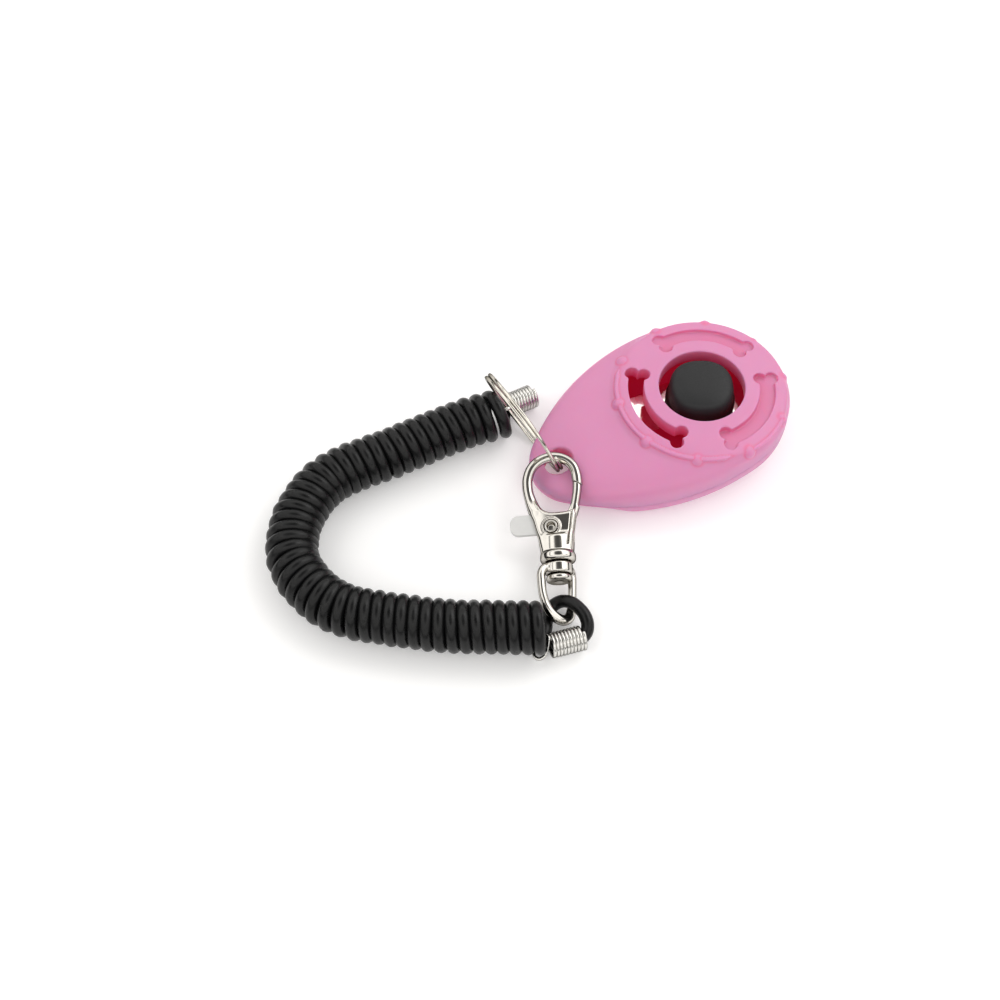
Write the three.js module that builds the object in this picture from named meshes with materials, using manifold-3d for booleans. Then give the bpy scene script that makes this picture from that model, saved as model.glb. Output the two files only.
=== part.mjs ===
// Clicker trainer: an egg-shaped push-button clicker on a wrist coil.
// Millimetres, +Z up. The origin is on the flat underside, below the button's axis.
// +X runs along the casing to its wide end, so the key-ring hole is on the -X side.
import * as THREE from 'three';
import { mergeVertices } from 'three/addons/utils/BufferGeometryUtils.js';
import Module from 'manifold-3d';

const wasm = await Module();
wasm.setup();

// ---- driving dimensions -------------------------------------------------------------
const GAP = 0.3;                    // clearance between pieces that touch

const HEAD_RADIUS = 20.7;           // casing outline: wide end
const TAIL_RADIUS = 10.9;           // narrow end
const SPINE = 32.5;                 // distance between those two centres
const FLANK_RADIUS = 50;            // bulge of the two sides
const WALL = 1.7;
const ROOF = 3.0;                   // the top is thicker
const CROWN = 14.2;                 // height of the shell at the head
const CROWN_FALL = 0.0037;          // and how it falls towards the tail, per mm squared
const WIDEST = 10;                  // height of the widest line at the head
const WIDEST_RISE = 0.147;          // it climbs from the tail to there, per mm
const SEAM = 7.5;                   // height of the parting plane under the button
const SEAM_RISE = 0.091;            // and its slope
const TAIL_LIFT = 3.8;              // the underside clears the table at the tail
const LIFT_START = -25;
const LIFT_END = -34;

const PLATEAU_RADIUS = 20;          // raised round top around the button
const PLATEAU_TOP = 15.35;
const PLATEAU_DOME = 0.0041;        // drop per mm squared from the middle
const PLATEAU_FOOT = 9.5;
const LOBES = 10;
const PATTERN_TURN = 3;             // the bones and lobes are turned by this, degrees
const LOBE_RADIUS = 1.6;
const LOBE_RISE = 0.15;             // their tops over the plateau's edge
const BUTTON_HOLE = 10;
const BONE_RADIUS = 15.2;           // centre line of the three bone-shaped arcs
const BONE_HALF_WIDTH = 1.8;
const BONE_HALF_ANGLE = 40;
const BONE_LOBE = 1.4;
const BONE_RECESS_FLOOR = 13.1;
const BONES = [60, 180, 300];       // the one towards the tail is cut right through
const TAIL_HOLE_X = -36.3;
const TAIL_HOLE_RADIUS = 3.5;
const TAIL_LIP = 1.6;               // its flared mouths
const TAIL_SLEEVE = 5.6;            // solid wall round the hole

const BUTTON_RADIUS = 7.5;
const SKIRT_RADIUS = 8.1;
const BUTTON_TOP = 16.6;
const BUTTON_UNDER = 8.8;
const STEM_RADIUS = 1.6;
const LEAF_Z = 7.0;                 // underside of the spring-steel leaf
const LEAF_THICK = 0.5;
const LEAF_ANCHOR_X = -21;
const LEAF_TAIL_X = -23.6;
const LEAF_HEAD_X = 15;
const LEAF_WIDTH = 16;
const SHELL_SCREW = [11.5, 11.5];   // one on each side of the axis
const SCREW_SHANK = 1.2;

const RING_MEAN = 13.2;             // split ring: two turns of flattened wire
const RING_WIRE_WIDE = 1.2;
const RING_WIRE_HIGH = 0.85;
const RING_PITCH = 0.95;            // the turns lie flat, this far apart
const RING_TURNS = 1.9;
const RING_CROSSING = 0.06;         // they cross over within this share of the wire each way
const RING_CENTRE = new THREE.Vector3(-40.95, 10.2, 13.25);
const RING_NORMAL = new THREE.Vector3(0.937, 0.102, 0.329).normalize();

const CLASP_FOOT = new THREE.Vector3(-54.3, -34.9, 2.5);    // bottom of the swivel link
const CLASP_HEAD = new THREE.Vector3(-38.3, 0.3, 11.05);   // the hook's top
const CLASP_ROLL = 8;               // right side up, degrees
const LINK_ROLL = -28;              // left side up
const HOOK_WIRE = 1.15;
const GATE_WIRE = 0.95;
const PLATE_HALF = 2.0;             // half thickness of the cast body
const SLOT_HALF = 0.95;
const LEVER_HALF = 0.65;
const PIVOT = [-1.4, 22.8];
const RIVET_RADIUS = 0.9;
const LINK_WIRE = 1.0;
const LINK_HALF_WIDTH = 4.0;

const CORD = 2.9;                   // wrist cord diameter
const COIL = 12;                    // outer diameter of the curly coil
const COIL_ROUTE = [                // middle of the coil, from the ring to the clasp
  [-43.8, 19.8], [-49.5, 20.6], [-55.0, 20.8], [-61.0, 20.9], [-66.0, 20.9], [-71.0, 20.9],
  [-75.5, 21.2], [-81.0, 21.3], [-86.6, 20.5], [-91.4, 18.0], [-96.1, 14.1], [-99.3, 9.6],
  [-101.2, 5.0], [-101.4, 1.0], [-100.9, -2.5], [-99.9, -6.0], [-98.0, -9.8], [-95.2, -13.2],
  [-91.2, -16.4], [-86.0, -20.2], [-78.0, -25.7], [-68.3, -30.9], [-63.5, -33.5], [-61.0, -34.8],
].map(([x, y]) => new THREE.Vector3(x, y, COIL / 2));
const RING_LOOP_ROUTE = [           // cord from the coil into the crimp beside the ring
  [-43.35, 19.7, 3.5], [-42.5, 19.7, 3.4], [-41.8, 20.6, 3.2], [-41.3, 22.2, 3.1],
  [-40.4, 23.3, 3.1], [-39.0, 23.5, 3.0],
].map((p) => new THREE.Vector3(...p));
const LINK_LOOP_ROUTE = [           // cord from the coil round the link into its crimp
  [-59.6, -33.9, 2.3], [-58.6, -33.9, 2.1], [-57.4, -32.8, 1.8], [-56.0, -31.5, 1.65],
  [-54.0, -30.7, 2.2], [-52.3, -31.2, 3.9], [-51.1, -32.9, 4.9], [-50.5, -35.4, 5.0], [-50.6, -37.9, 4.5],
  [-51.2, -39.9, 3.6], [-52.0, -40.9, 3.1], [-53.0, -40.7, 3.1],
].map((p) => new THREE.Vector3(...p));
const CRIMP_OUTER = 2.7;
const CRIMP_INNER = 1.8;
const CRIMP_WIRE = 0.45;
const RING_CRIMP = [[-38.6, 23.5, 3.0], [-31.6, 23.5, 3.0]].map((p) => new THREE.Vector3(...p));
const LINK_CRIMP = [[-59.3, -38.1, 3.1], [-53.4, -40.5, 3.1]].map((p) => new THREE.Vector3(...p));
const RING_HOOK_ROUTE = [           // crimp wire through the ring to the last coil turn
  [-35.6, 22.8, 5.2], [-35.9, 21.0, 7.4], [-36.9, 18.6, 8.6], [-38.9, 17.4, 8.6],
  [-41.0, 18.2, 8.2], [-42.6, 19.4, 7.2],
].map((p) => new THREE.Vector3(...p));
const LINK_HOOK_ROUTE = [
  [-59.2, -39.6, 4.2], [-60.1, -40.6, 3.4], [-61.5, -40.9, 2.2], [-62.8, -40.4, 1.0],
  [-63.6, -39.2, 0.75],
].map((p) => new THREE.Vector3(...p));

// ---- materials ----------------------------------------------------------------------
function material(color, roughness, metalness = 0) {
  return new THREE.MeshStandardMaterial({ color, roughness, metalness });
}
const PINK = material(0xe293bb, 0.45);
const BLACK_RUBBER = material(0x2a2c2e, 0.6);
const STEEL = material(0xc9c7c2, 0.25, 1);
const CHROME = material(0xd8d4ca, 0.12, 1);
const CORD_BLACK = material(0x17181a, 0.4);

// ---- solids -------------------------------------------------------------------------
function withoutSlivers(geometry) {
  const bare = new THREE.BufferGeometry();
  bare.setAttribute('position', geometry.getAttribute('position').clone());
  if (geometry.index) bare.setIndex(geometry.index.clone());
  const merged = mergeVertices(bare, 1e-4);
  const corners = merged.index.array;
  const kept = [];
  for (let i = 0; i < corners.length; i += 3) {
    const [a, b, c] = [corners[i], corners[i + 1], corners[i + 2]];
    if (a !== b && b !== c && c !== a) kept.push(a, b, c);
  }
  merged.setIndex(kept);
  return merged;
}

function solid(geometry) {
  const merged = withoutSlivers(geometry);
  const vertProperties = new Float32Array(merged.getAttribute('position').array);
  const triVerts = new Uint32Array(merged.index.array);
  return new wasm.Manifold(new wasm.Mesh({ numProp: 3, vertProperties, triVerts }));
}

function geometryOf(manifold) {
  const mesh = manifold.getMesh();
  const geometry = new THREE.BufferGeometry();
  geometry.setAttribute('position', new THREE.Float32BufferAttribute(mesh.vertProperties, 3));
  geometry.setIndex(Array.from(mesh.triVerts));
  return geometry;
}

const join = (first, ...others) => others.reduce((sum, one) => sum.add(one), first);
const cut = (body, ...tools) => tools.reduce((left, tool) => left.subtract(tool), body);

// An upright cylinder from z = low to z = high.
function post(x, y, low, high, radius, sides = 20, topRadius = radius) {
  const shape = new THREE.CylinderGeometry(topRadius, radius, high - low, sides);
  return solid(shape.rotateX(Math.PI / 2).translate(x, y, (low + high) / 2));
}

// A box given by its lowest and highest corners.
function block(low, high) {
  const size = high.map((value, i) => value - low[i]);
  const middle = high.map((value, i) => (value + low[i]) / 2);
  return new THREE.BoxGeometry(...size).translate(...middle);
}

// A body of revolution about Z: profile points are [radius, z], axis to axis or closed.
function turned(profile, sides) {
  const points = profile.map(([r, z]) => new THREE.Vector2(r, z));
  return new THREE.LatheGeometry(points, sides).rotateX(Math.PI / 2);
}

function polygonSection(radius, sides) {
  const shape = new THREE.Shape();
  for (let i = 0; i < sides; i++) {
    const turn = (2 * Math.PI * (i + 0.5)) / sides;
    const place = [radius * Math.cos(turn), radius * Math.sin(turn)];
    if (i === 0) shape.moveTo(...place);
    else shape.lineTo(...place);
  }
  shape.closePath();
  return shape;
}

function tube(points, radius, sides, steps) {
  const path = new THREE.CatmullRomCurve3(points, false, 'centripetal');
  return sweep(path, polygonSection(radius, sides), steps);
}

function sweep(path, section, steps) {
  return new THREE.ExtrudeGeometry(section, { extrudePath: path, steps, bevelEnabled: false });
}

// A hollow cylinder from one point to another.
function sleeve([from, to], outer, inner, sides) {
  const length = from.distanceTo(to);
  const profile = [[inner, 0], [outer, 0], [outer, length], [inner, length], [inner, 0]];
  const along = to.clone().sub(from).normalize();
  const turn = new THREE.Quaternion().setFromUnitVectors(new THREE.Vector3(0, 0, 1), along);
  const shape = turned(profile, sides);
  return shape.applyQuaternion(turn).translate(from.x, from.y, from.z);
}

const everything = new THREE.Group();

function add(name, geometry, look, parent = everything) {
  const mesh = new THREE.Mesh(geometry, look);
  mesh.name = name;
  parent.add(mesh);
}

// ---- casing -------------------------------------------------------------------------
const AROUND = { head: 22, flank: 8, tail: 14 };
const LEVELS = [0, 0.4, 0.65, 0.82, 0.93, 0.985];
const smooth = (t) => t * t * (3 - 2 * t);
const widestAt = (x) => WIDEST + WIDEST_RISE * Math.min(x, 0);
const crownAt = (x) => CROWN - CROWN_FALL * Math.min(x, 0) ** 2;
const baseAt = (x) => {
  const t = THREE.MathUtils.clamp((x - LIFT_START) / (LIFT_END - LIFT_START), 0, 1);
  return TAIL_LIFT * smooth(t) - 0.4;
};

// Points round the egg with the station on its spine that each one belongs to.
function eggOutline(inset) {
  const a = FLANK_RADIUS - HEAD_RADIUS;
  const b = FLANK_RADIUS - TAIL_RADIUS;
  const cx = (b * b - a * a - SPINE * SPINE) / (2 * SPINE);
  const cy = Math.sqrt(a * a - cx * cx);
  const headTurn = Math.atan2(cy, -cx);
  const tailTurn = Math.atan2(cy, -SPINE - cx);
  const points = [];
  const arc = (x, y, radius, from, to, count, stationOf) => {
    for (let i = 0; i < count; i++) {
      const turn = from + ((to - from) * i) / count;
      const t = i / count;
      const r = radius - inset;
      points.push({ x: x + r * Math.cos(turn), y: y + r * Math.sin(turn), station: stationOf(t) });
    }
  };
  arc(0, 0, HEAD_RADIUS, -headTurn, headTurn, AROUND.head, () => 0);
  arc(cx, -cy, FLANK_RADIUS, headTurn, tailTurn, AROUND.flank, (t) => -SPINE * t);
  arc(-SPINE, 0, TAIL_RADIUS, tailTurn, 2 * Math.PI - tailTurn, AROUND.tail, () => -SPINE);
  arc(cx, cy, FLANK_RADIUS, -tailTurn, -headTurn, AROUND.flank, (t) => -SPINE * (1 - t));
  return points;
}

// The rounded egg, inset by one wall thickness for the hollow.
function eggBody(inset, roof) {
  const outline = eggOutline(inset);
  const swell = (c, power) => (1 - c ** power) ** (1 / power);
  const rings = [];
  const ring = (c, heightOf) => rings.push(outline.map(({ x, y, station }) => {
    const px = station + c * (x - station);
    return [px, c * y, heightOf(px)];
  }));
  for (const c of LEVELS) {
    ring(c, (x) => widestAt(x) + (crownAt(x) - roof - widestAt(x)) * swell(c, 4));
  }
  ring(1, widestAt);
  for (const c of [...LEVELS].reverse()) {
    ring(c, (x) => widestAt(x) - (widestAt(x) - baseAt(x) - inset) * swell(c, 4));
  }
  const count = outline.length;
  const index = [];
  for (let r = 0; r + 1 < rings.length; r++) {
    for (let i = 0; i < count; i++) {
      const [a, b] = [r * count + i, r * count + ((i + 1) % count)];
      index.push(a, a + count, b, b, a + count, b + count);
    }
  }
  const geometry = new THREE.BufferGeometry();
  geometry.setAttribute('position', new THREE.Float32BufferAttribute(rings.flat(2), 3));
  geometry.setIndex(index);
  return solid(geometry);
}

// Everything above or below the plane where the shells part.
function halfSpace(side, offset) {
  const far = 150;
  const slab = block([-far, -far, Math.min(0, side) * far], [far, far, Math.max(0, side) * far]);
  slab.rotateY(-Math.atan(SEAM_RISE));
  return solid(slab.translate(0, 0, SEAM + side * offset));
}

function plateau() {
  const rise = (r) => PLATEAU_TOP - PLATEAU_DOME * r * r;
  const profile = [[0, PLATEAU_FOOT], [PLATEAU_RADIUS, PLATEAU_FOOT]];
  profile.push([PLATEAU_RADIUS, rise(PLATEAU_RADIUS) - 0.5]);
  for (const r of [19.4, 15, 8, 0]) profile.push([r, rise(r)]);
  return solid(turned(profile, 48));
}

function lobes() {
  const top = PLATEAU_TOP - PLATEAU_DOME * PLATEAU_RADIUS ** 2;
  return Array.from({ length: LOBES }, (_, i) => {
    const turn = THREE.MathUtils.degToRad((180 / LOBES) * (2 * i + 1) + PATTERN_TURN);
    const reach = PLATEAU_RADIUS - 0.7;
    const [x, y] = [reach * Math.cos(turn), reach * Math.sin(turn)];
    return post(x, y, top - 2.5, top + LOBE_RISE, LOBE_RADIUS, 12);
  });
}

// A bone-shaped arc: a curved channel with two round lobes at each end.
function bone(angle, low, high) {
  const channel = new THREE.Shape();
  const half = THREE.MathUtils.degToRad(BONE_HALF_ANGLE);
  channel.absarc(0, 0, BONE_RADIUS + BONE_HALF_WIDTH, -half, half, false);
  channel.absarc(0, 0, BONE_RADIUS - BONE_HALF_WIDTH, half, -half, true);
  const depth = high - low;
  const settings = { depth, bevelEnabled: false, curveSegments: 12 };
  let shape = solid(new THREE.ExtrudeGeometry(channel, settings).translate(0, 0, low));
  for (const end of [-half, half]) {
    for (const side of [-1, 1]) {
      const reach = BONE_RADIUS + side * (BONE_HALF_WIDTH - 0.4);
      shape = shape.add(post(reach * Math.cos(end), reach * Math.sin(end), low, high, BONE_LOBE, 12));
    }
  }
  return shape.rotate([0, 0, angle + PATTERN_TURN]);
}

const tailHole = join(
  post(TAIL_HOLE_X, 0, -1, 20, TAIL_HOLE_RADIUS, 24),
  post(TAIL_HOLE_X, 0, 7.8, 10.8, TAIL_HOLE_RADIUS - 0.3, 24, TAIL_HOLE_RADIUS + TAIL_LIP),
  post(TAIL_HOLE_X, 0, 2.2, 5.2, TAIL_HOLE_RADIUS + TAIL_LIP, 24, TAIL_HOLE_RADIUS - 0.3),
);
const screwPlaces = [-1, 1].map((side) => [SHELL_SCREW[0], side * SHELL_SCREW[1]]);
const leafAnchorTop = LEAF_Z - 0.45;
const FLOOR = WALL - 0.1;

const outside = join(eggBody(0, 0), plateau(), ...lobes());
const hollow = cut(
  eggBody(WALL, ROOF),
  post(TAIL_HOLE_X, 0, -1, 20, TAIL_SLEEVE, 24),
  ...screwPlaces.map(([x, y]) => post(x, y, -1, 20, 3.2, 16)),
);
const aboveTable = solid(block([-60, -40, 0], [40, 40, 40]));

function topShell() {
  const [recess, open, otherRecess] = BONES;
  const shell = cut(
    outside.subtract(hollow).intersect(halfSpace(1, GAP / 2)),
    post(0, 0, 5, 20, BUTTON_HOLE, 48),
    tailHole,
    bone(open, 5, 20),
    ...[recess, otherRecess].map((angle) => bone(angle, BONE_RECESS_FLOOR, 20)),
    ...screwPlaces.map(([x, y]) => post(x, y, 5, 11.1, SCREW_SHANK + GAP, 12)),
  );
  return geometryOf(shell);
}

function bottomShell() {
  const tray = outside.subtract(hollow).intersect(halfSpace(-1, GAP / 2)).intersect(aboveTable);
  const fittings = join(
    tray,
    cut(post(0, 0, FLOOR - 0.5, 4.5, 3.2, 20), post(0, 0, FLOOR, 6, STEM_RADIUS + 0.35, 16)),
    cut(
      post(LEAF_ANCHOR_X, 0, FLOOR - 0.5, leafAnchorTop, 2.6, 16),
      post(LEAF_ANCHOR_X, 0, FLOOR + 0.6, 10, SCREW_SHANK + GAP, 12),
    ),
    solid(block([12.6, -4, FLOOR - 0.5], [14.2, 4, 3.4])),
  );
  const tools = screwPlaces.flatMap(([x, y]) => [
    post(x, y, -1, 12, SCREW_SHANK + GAP, 12),
    post(x, y, -1, 2.9, 2.5, 16),
  ]);
  return geometryOf(cut(fittings, tailHole, ...tools));
}

add('top_shell', topShell(), PINK);
add('bottom_shell', bottomShell(), PINK);

// ---- button, leaf and fixings -------------------------------------------------------
function button() {
  const profile = [
    [0, 3.8], [STEM_RADIUS, 3.8], [STEM_RADIUS, LEAF_Z + LEAF_THICK + GAP],
    [2.6, LEAF_Z + LEAF_THICK + GAP], [2.6, BUTTON_UNDER], [SKIRT_RADIUS, BUTTON_UNDER],
    [SKIRT_RADIUS, BUTTON_UNDER + 1.6], [BUTTON_RADIUS, BUTTON_UNDER + 2.2],
    [BUTTON_RADIUS - 0.2, BUTTON_TOP - 1.7], [BUTTON_RADIUS - 1.1, BUTTON_TOP - 0.7],
    [BUTTON_RADIUS - 3.2, BUTTON_TOP - 0.15], [0, BUTTON_TOP],
  ];
  return turned(profile, 32);
}

function clickLeaf() {
  const half = LEAF_WIDTH / 2;
  const corner = 5;
  const outline = new THREE.Shape();
  outline.moveTo(LEAF_TAIL_X + corner, -half);
  outline.lineTo(LEAF_HEAD_X - corner, -half);
  outline.absarc(LEAF_HEAD_X - corner, -half + corner, corner, -Math.PI / 2, 0, false);
  outline.absarc(LEAF_HEAD_X - corner, half - corner, corner, 0, Math.PI / 2, false);
  outline.absarc(LEAF_TAIL_X + corner, half - corner, corner, Math.PI / 2, Math.PI, false);
  outline.absarc(LEAF_TAIL_X + corner, -half + corner, corner, Math.PI, 1.5 * Math.PI, false);
  for (const [x, radius] of [[0, STEM_RADIUS + 0.6], [LEAF_ANCHOR_X, SCREW_SHANK + 0.4]]) {
    const hole = new THREE.Path();
    hole.absarc(x, 0, radius, 0, 2 * Math.PI, true);
    outline.holes.push(hole);
  }
  const settings = { depth: LEAF_THICK, bevelEnabled: false, curveSegments: 6 };
  return new THREE.ExtrudeGeometry(outline, settings).translate(0, 0, LEAF_Z);
}

// A screw along Z with its head at the end named by headLow..headHigh.
function screw(headLow, headHigh, tip, headRadius) {
  const end = tip < headLow ? headLow : headHigh;
  const other = tip < headLow ? headHigh : headLow;
  const profile = [
    [0, tip], [SCREW_SHANK, tip], [SCREW_SHANK, end], [headRadius, end], [headRadius, other],
    [0, other],
  ];
  if (tip > headHigh) profile.reverse();
  return turned(profile, 16);
}

add('button', button(), BLACK_RUBBER);
add('click_leaf', clickLeaf(), STEEL);
const leafScrewHead = LEAF_Z + LEAF_THICK + GAP;
const leafScrew = screw(leafScrewHead, leafScrewHead + 1.1, 2.6, 2.3);
add('leaf_screw', leafScrew.translate(LEAF_ANCHOR_X, 0, 0), STEEL);
screwPlaces.forEach(([x, y], i) => {
  const name = ['shell_screw_right', 'shell_screw_left'][i];
  add(name, screw(0.8, 2.6, 10.6, 2.2).translate(x, y, 0), STEEL);
});

// ---- split ring ---------------------------------------------------------------------
class RingPath extends THREE.Curve {
  getPoint(t, target = new THREE.Vector3()) {
    const turn = 2 * Math.PI * (RING_TURNS * t - 0.31);
    const rise = THREE.MathUtils.clamp(0.5 + (t - 0.5) / (2 * RING_CROSSING), 0, 1);
    const height = RING_PITCH * (smooth(rise) - 0.5);
    return target.set(RING_MEAN * Math.cos(turn), RING_MEAN * Math.sin(turn), height);
  }
}

function splitRing() {
  const [wide, high] = [RING_WIRE_WIDE / 2, RING_WIRE_HIGH / 2];
  const steps = 100;
  const vertices = [];
  const path = new RingPath();
  const corners = [[1, 0], [0.7, 0.8], [0, 1], [-0.7, 0.8], [-1, 0], [-0.7, -0.8], [0, -1], [0.7, -0.8]];
  for (let s = 0; s <= steps; s++) {
    const centre = path.getPoint(s / steps);
    const outward = new THREE.Vector3(centre.x, centre.y, 0).normalize();
    for (const [u, v] of corners) {
      const corner = centre.clone().addScaledVector(outward, u * wide);
      vertices.push(corner.x, corner.y, corner.z + v * high);
    }
  }
  const count = corners.length;
  const index = [];
  for (let s = 0; s < steps; s++) {
    for (let i = 0; i < count; i++) {
      const [a, b] = [s * count + i, s * count + ((i + 1) % count)];
      index.push(a, a + count, b, b, a + count, b + count);
    }
  }
  const last = steps * count;
  for (let i = 1; i + 1 < count; i++) {
    index.push(0, i, i + 1);
    index.push(last, last + i + 1, last + i);
  }
  const geometry = new THREE.BufferGeometry();
  geometry.setAttribute('position', new THREE.Float32BufferAttribute(vertices, 3));
  geometry.setIndex(index);
  return geometry;
}

const ringGroup = new THREE.Group();
ringGroup.position.copy(RING_CENTRE);
ringGroup.quaternion.setFromUnitVectors(new THREE.Vector3(0, 0, 1), RING_NORMAL);
everything.add(ringGroup);
add('split_ring', splitRing(), STEEL, ringGroup);

// ---- clasp: local x to its right, y from the link to the hook, z out of its face -----
function claspGroup(roll) {
  const along = CLASP_HEAD.clone().sub(CLASP_FOOT).normalize();
  const level = new THREE.Vector3(along.y, -along.x, 0).normalize();
  const face = new THREE.Vector3().crossVectors(level, along);
  const turn = THREE.MathUtils.degToRad(roll);
  const right = level.clone().multiplyScalar(Math.cos(turn)).addScaledVector(face, Math.sin(turn));
  const out = new THREE.Vector3().crossVectors(right, along);
  const group = new THREE.Group();
  group.position.copy(CLASP_FOOT);
  group.quaternion.setFromRotationMatrix(new THREE.Matrix4().makeBasis(right, along, out));
  everything.add(group);
  return group;
}

// A body of revolution about the clasp's long axis.
const turnedAlong = (profile, sides) => solid(turned(profile, sides).rotateX(-Math.PI / 2));
const flat = (points) => points.map(([x, y]) => new THREE.Vector3(x, y, 0));

function plate(outline, half) {
  const shape = new THREE.Shape(outline.map(([x, y]) => new THREE.Vector2(x, y)));
  const settings = { depth: 2 * half, bevelEnabled: false };
  return solid(new THREE.ExtrudeGeometry(shape, settings).translate(0, 0, -half));
}

const HOOK_PATH = [
  [-5.2, 27.2], [-6.0, 29.4], [-6.5, 31.8], [-6.4, 34.2], [-5.4, 36.7], [-3.4, 38.7], [-0.6, 39.4],
  [2.2, 38.7], [4.2, 36.7], [4.85, 34.3],
];
const BODY_OUTLINE = [
  [-3.3, 16.0], [3.3, 16.0], [4.6, 25.4], [4.4, 26.2], [2.6, 26.2], [-2.2, 26.2], [-3.6, 27.0],
  [-4.4, 28.6], [-6.1, 28.6], [-5.9, 27.0],
];
const GATE_PATH = [[4.3, 26.9], [4.8, 29.5], [4.9, 32.9]];
const LEVER_OUTLINE = [
  [-10.0, 20.9], [-4.0, 20.7], [-1.4, 20.2], [0.8, 21.0], [3.6, 23.8], [5.2, 27.0], [3.6, 27.4],
  [1.6, 25.2], [-1.4, 25.3], [-4.0, 25.4], [-10.0, 25.3], [-10.8, 24.4], [-10.8, 21.8],
];
const SLOT_OUTLINE = [
  [-9, 18.6], [7, 18.6], [7, 32], [1.2, 32], [-1.2, 25.75], [-9, 25.75],
];

function claspBody() {
  const rivetHole = post(...PIVOT, -4, 4, RIVET_RADIUS + GAP, 14);
  const stem = turnedAlong([
    [0, 9.7], [1.6, 9.7], [2.7, 10.2], [2.9, 10.9], [1.5, 10.9], [1.5, 13.9], [3.9, 13.9],
    [3.9, 16.4], [0, 16.4],
  ], 20);
  const hook = solid(tube(flat(HOOK_PATH), HOOK_WIRE, 10, 30));
  const cast = cut(plate(BODY_OUTLINE, PLATE_HALF), plate(SLOT_OUTLINE, SLOT_HALF), rivetHole);
  return geometryOf(join(cast, stem, hook));
}

function claspGate() {
  const lever = plate(LEVER_OUTLINE, LEVER_HALF);
  const arm = solid(tube(flat(GATE_PATH), GATE_WIRE, 10, 8));
  return geometryOf(cut(join(lever, arm), post(...PIVOT, -4, 4, RIVET_RADIUS + GAP, 14)));
}

function claspRivet() {
  const [shaft, head, edge] = [RIVET_RADIUS, 1.8, PLATE_HALF + GAP];
  const profile = [
    [0, -edge - 0.6], [head - 0.3, -edge - 0.6], [head, -edge], [shaft, -edge], [shaft, edge],
    [head, edge], [head - 0.3, edge + 0.6], [0.8, edge + 0.6], [0.6, edge + 0.1], [0, edge + 0.1],
  ];
  return turned(profile, 18).translate(...PIVOT, 0);
}

class SpringPath extends THREE.Curve {
  getPoint(t, target = new THREE.Vector3()) {
    const turn = 2 * Math.PI * 3.5 * t;
    return target.set(0.5 * Math.cos(turn), 1.3 * t, 0.5 * Math.sin(turn));
  }
}

function gateSpring() {
  return sweep(new SpringPath(), polygonSection(0.14, 6), 36).translate(-3.1, 18.9, 0);
}

function swivelLink() {
  const eye = turnedAlong([[1.9, 11.2], [2.8, 11.2], [2.8, 13.6], [1.9, 13.6], [1.9, 11.2]], 20);
  const side = LINK_HALF_WIDTH;
  const low = side + LINK_WIRE;
  const bend = Array.from({ length: 9 }, (_, i) => {
    const turn = Math.PI * (1 + i / 8);
    return [side * Math.cos(turn), low + side * Math.sin(turn)];
  });
  const route = [
    [-2.3, 12.5], [-3.6, 12.2], [-side, 11.0], [-side, 8.5], ...bend, [side, 8.5], [side, 11.0],
    [3.6, 12.2], [2.3, 12.5],
  ];
  return geometryOf(eye.add(solid(tube(flat(route), LINK_WIRE, 8, 44))));
}

const clasp = claspGroup(CLASP_ROLL);
add('clasp_body', claspBody(), CHROME, clasp);
add('clasp_gate', claspGate(), STEEL, clasp);
add('clasp_rivet', claspRivet(), CHROME, clasp);
add('gate_spring', gateSpring(), STEEL, clasp);
add('swivel_link', swivelLink(), CHROME, claspGroup(LINK_ROLL));

// ---- wrist coil ---------------------------------------------------------------------
add('coil_band', tube(COIL_ROUTE, COIL / 2, 12, 44), CORD_BLACK);
add('ring_end_loop', tube(RING_LOOP_ROUTE, CORD / 2, 8, 14), CORD_BLACK);
add('link_end_loop', tube(LINK_LOOP_ROUTE, CORD / 2, 8, 26), CORD_BLACK);

function crimp(ends, hookRoute) {
  const hook = solid(tube(hookRoute, CRIMP_WIRE, 6, 14));
  return geometryOf(solid(sleeve(ends, CRIMP_OUTER, CRIMP_INNER, 20)).add(hook));
}
add('crimp_ring_end', crimp(RING_CRIMP, RING_HOOK_ROUTE), STEEL);
add('crimp_link_end', crimp(LINK_CRIMP, LINK_HOOK_ROUTE), STEEL);

export default everything;
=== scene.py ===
"""Clicker trainer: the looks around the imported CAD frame.

Lengths in this script are millimetres in the row frame (or the clasp's own frame, named where it is
used) and become metres when a mesh is made. The moulded and cast pieces are smooth solids given by a
signed distance, meshed on a grid and then pulled onto the true surface; wires and cords are swept tubes.
"""

import math

import bpy
import numpy as np
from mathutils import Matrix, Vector


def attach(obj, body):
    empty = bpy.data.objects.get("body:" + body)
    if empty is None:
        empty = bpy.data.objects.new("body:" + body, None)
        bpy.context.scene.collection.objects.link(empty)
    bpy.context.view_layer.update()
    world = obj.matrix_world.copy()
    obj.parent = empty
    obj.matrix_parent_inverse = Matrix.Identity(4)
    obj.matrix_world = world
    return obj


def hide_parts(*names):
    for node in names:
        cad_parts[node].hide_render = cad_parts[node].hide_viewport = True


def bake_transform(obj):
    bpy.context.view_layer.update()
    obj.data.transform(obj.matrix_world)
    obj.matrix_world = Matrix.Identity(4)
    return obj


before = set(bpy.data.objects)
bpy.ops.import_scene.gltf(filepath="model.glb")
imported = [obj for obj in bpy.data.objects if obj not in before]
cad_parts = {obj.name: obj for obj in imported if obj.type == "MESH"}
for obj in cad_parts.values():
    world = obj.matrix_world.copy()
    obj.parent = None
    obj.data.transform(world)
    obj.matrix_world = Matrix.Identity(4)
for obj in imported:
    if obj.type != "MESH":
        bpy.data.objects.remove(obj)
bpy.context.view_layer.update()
MM = 0.001

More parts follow.
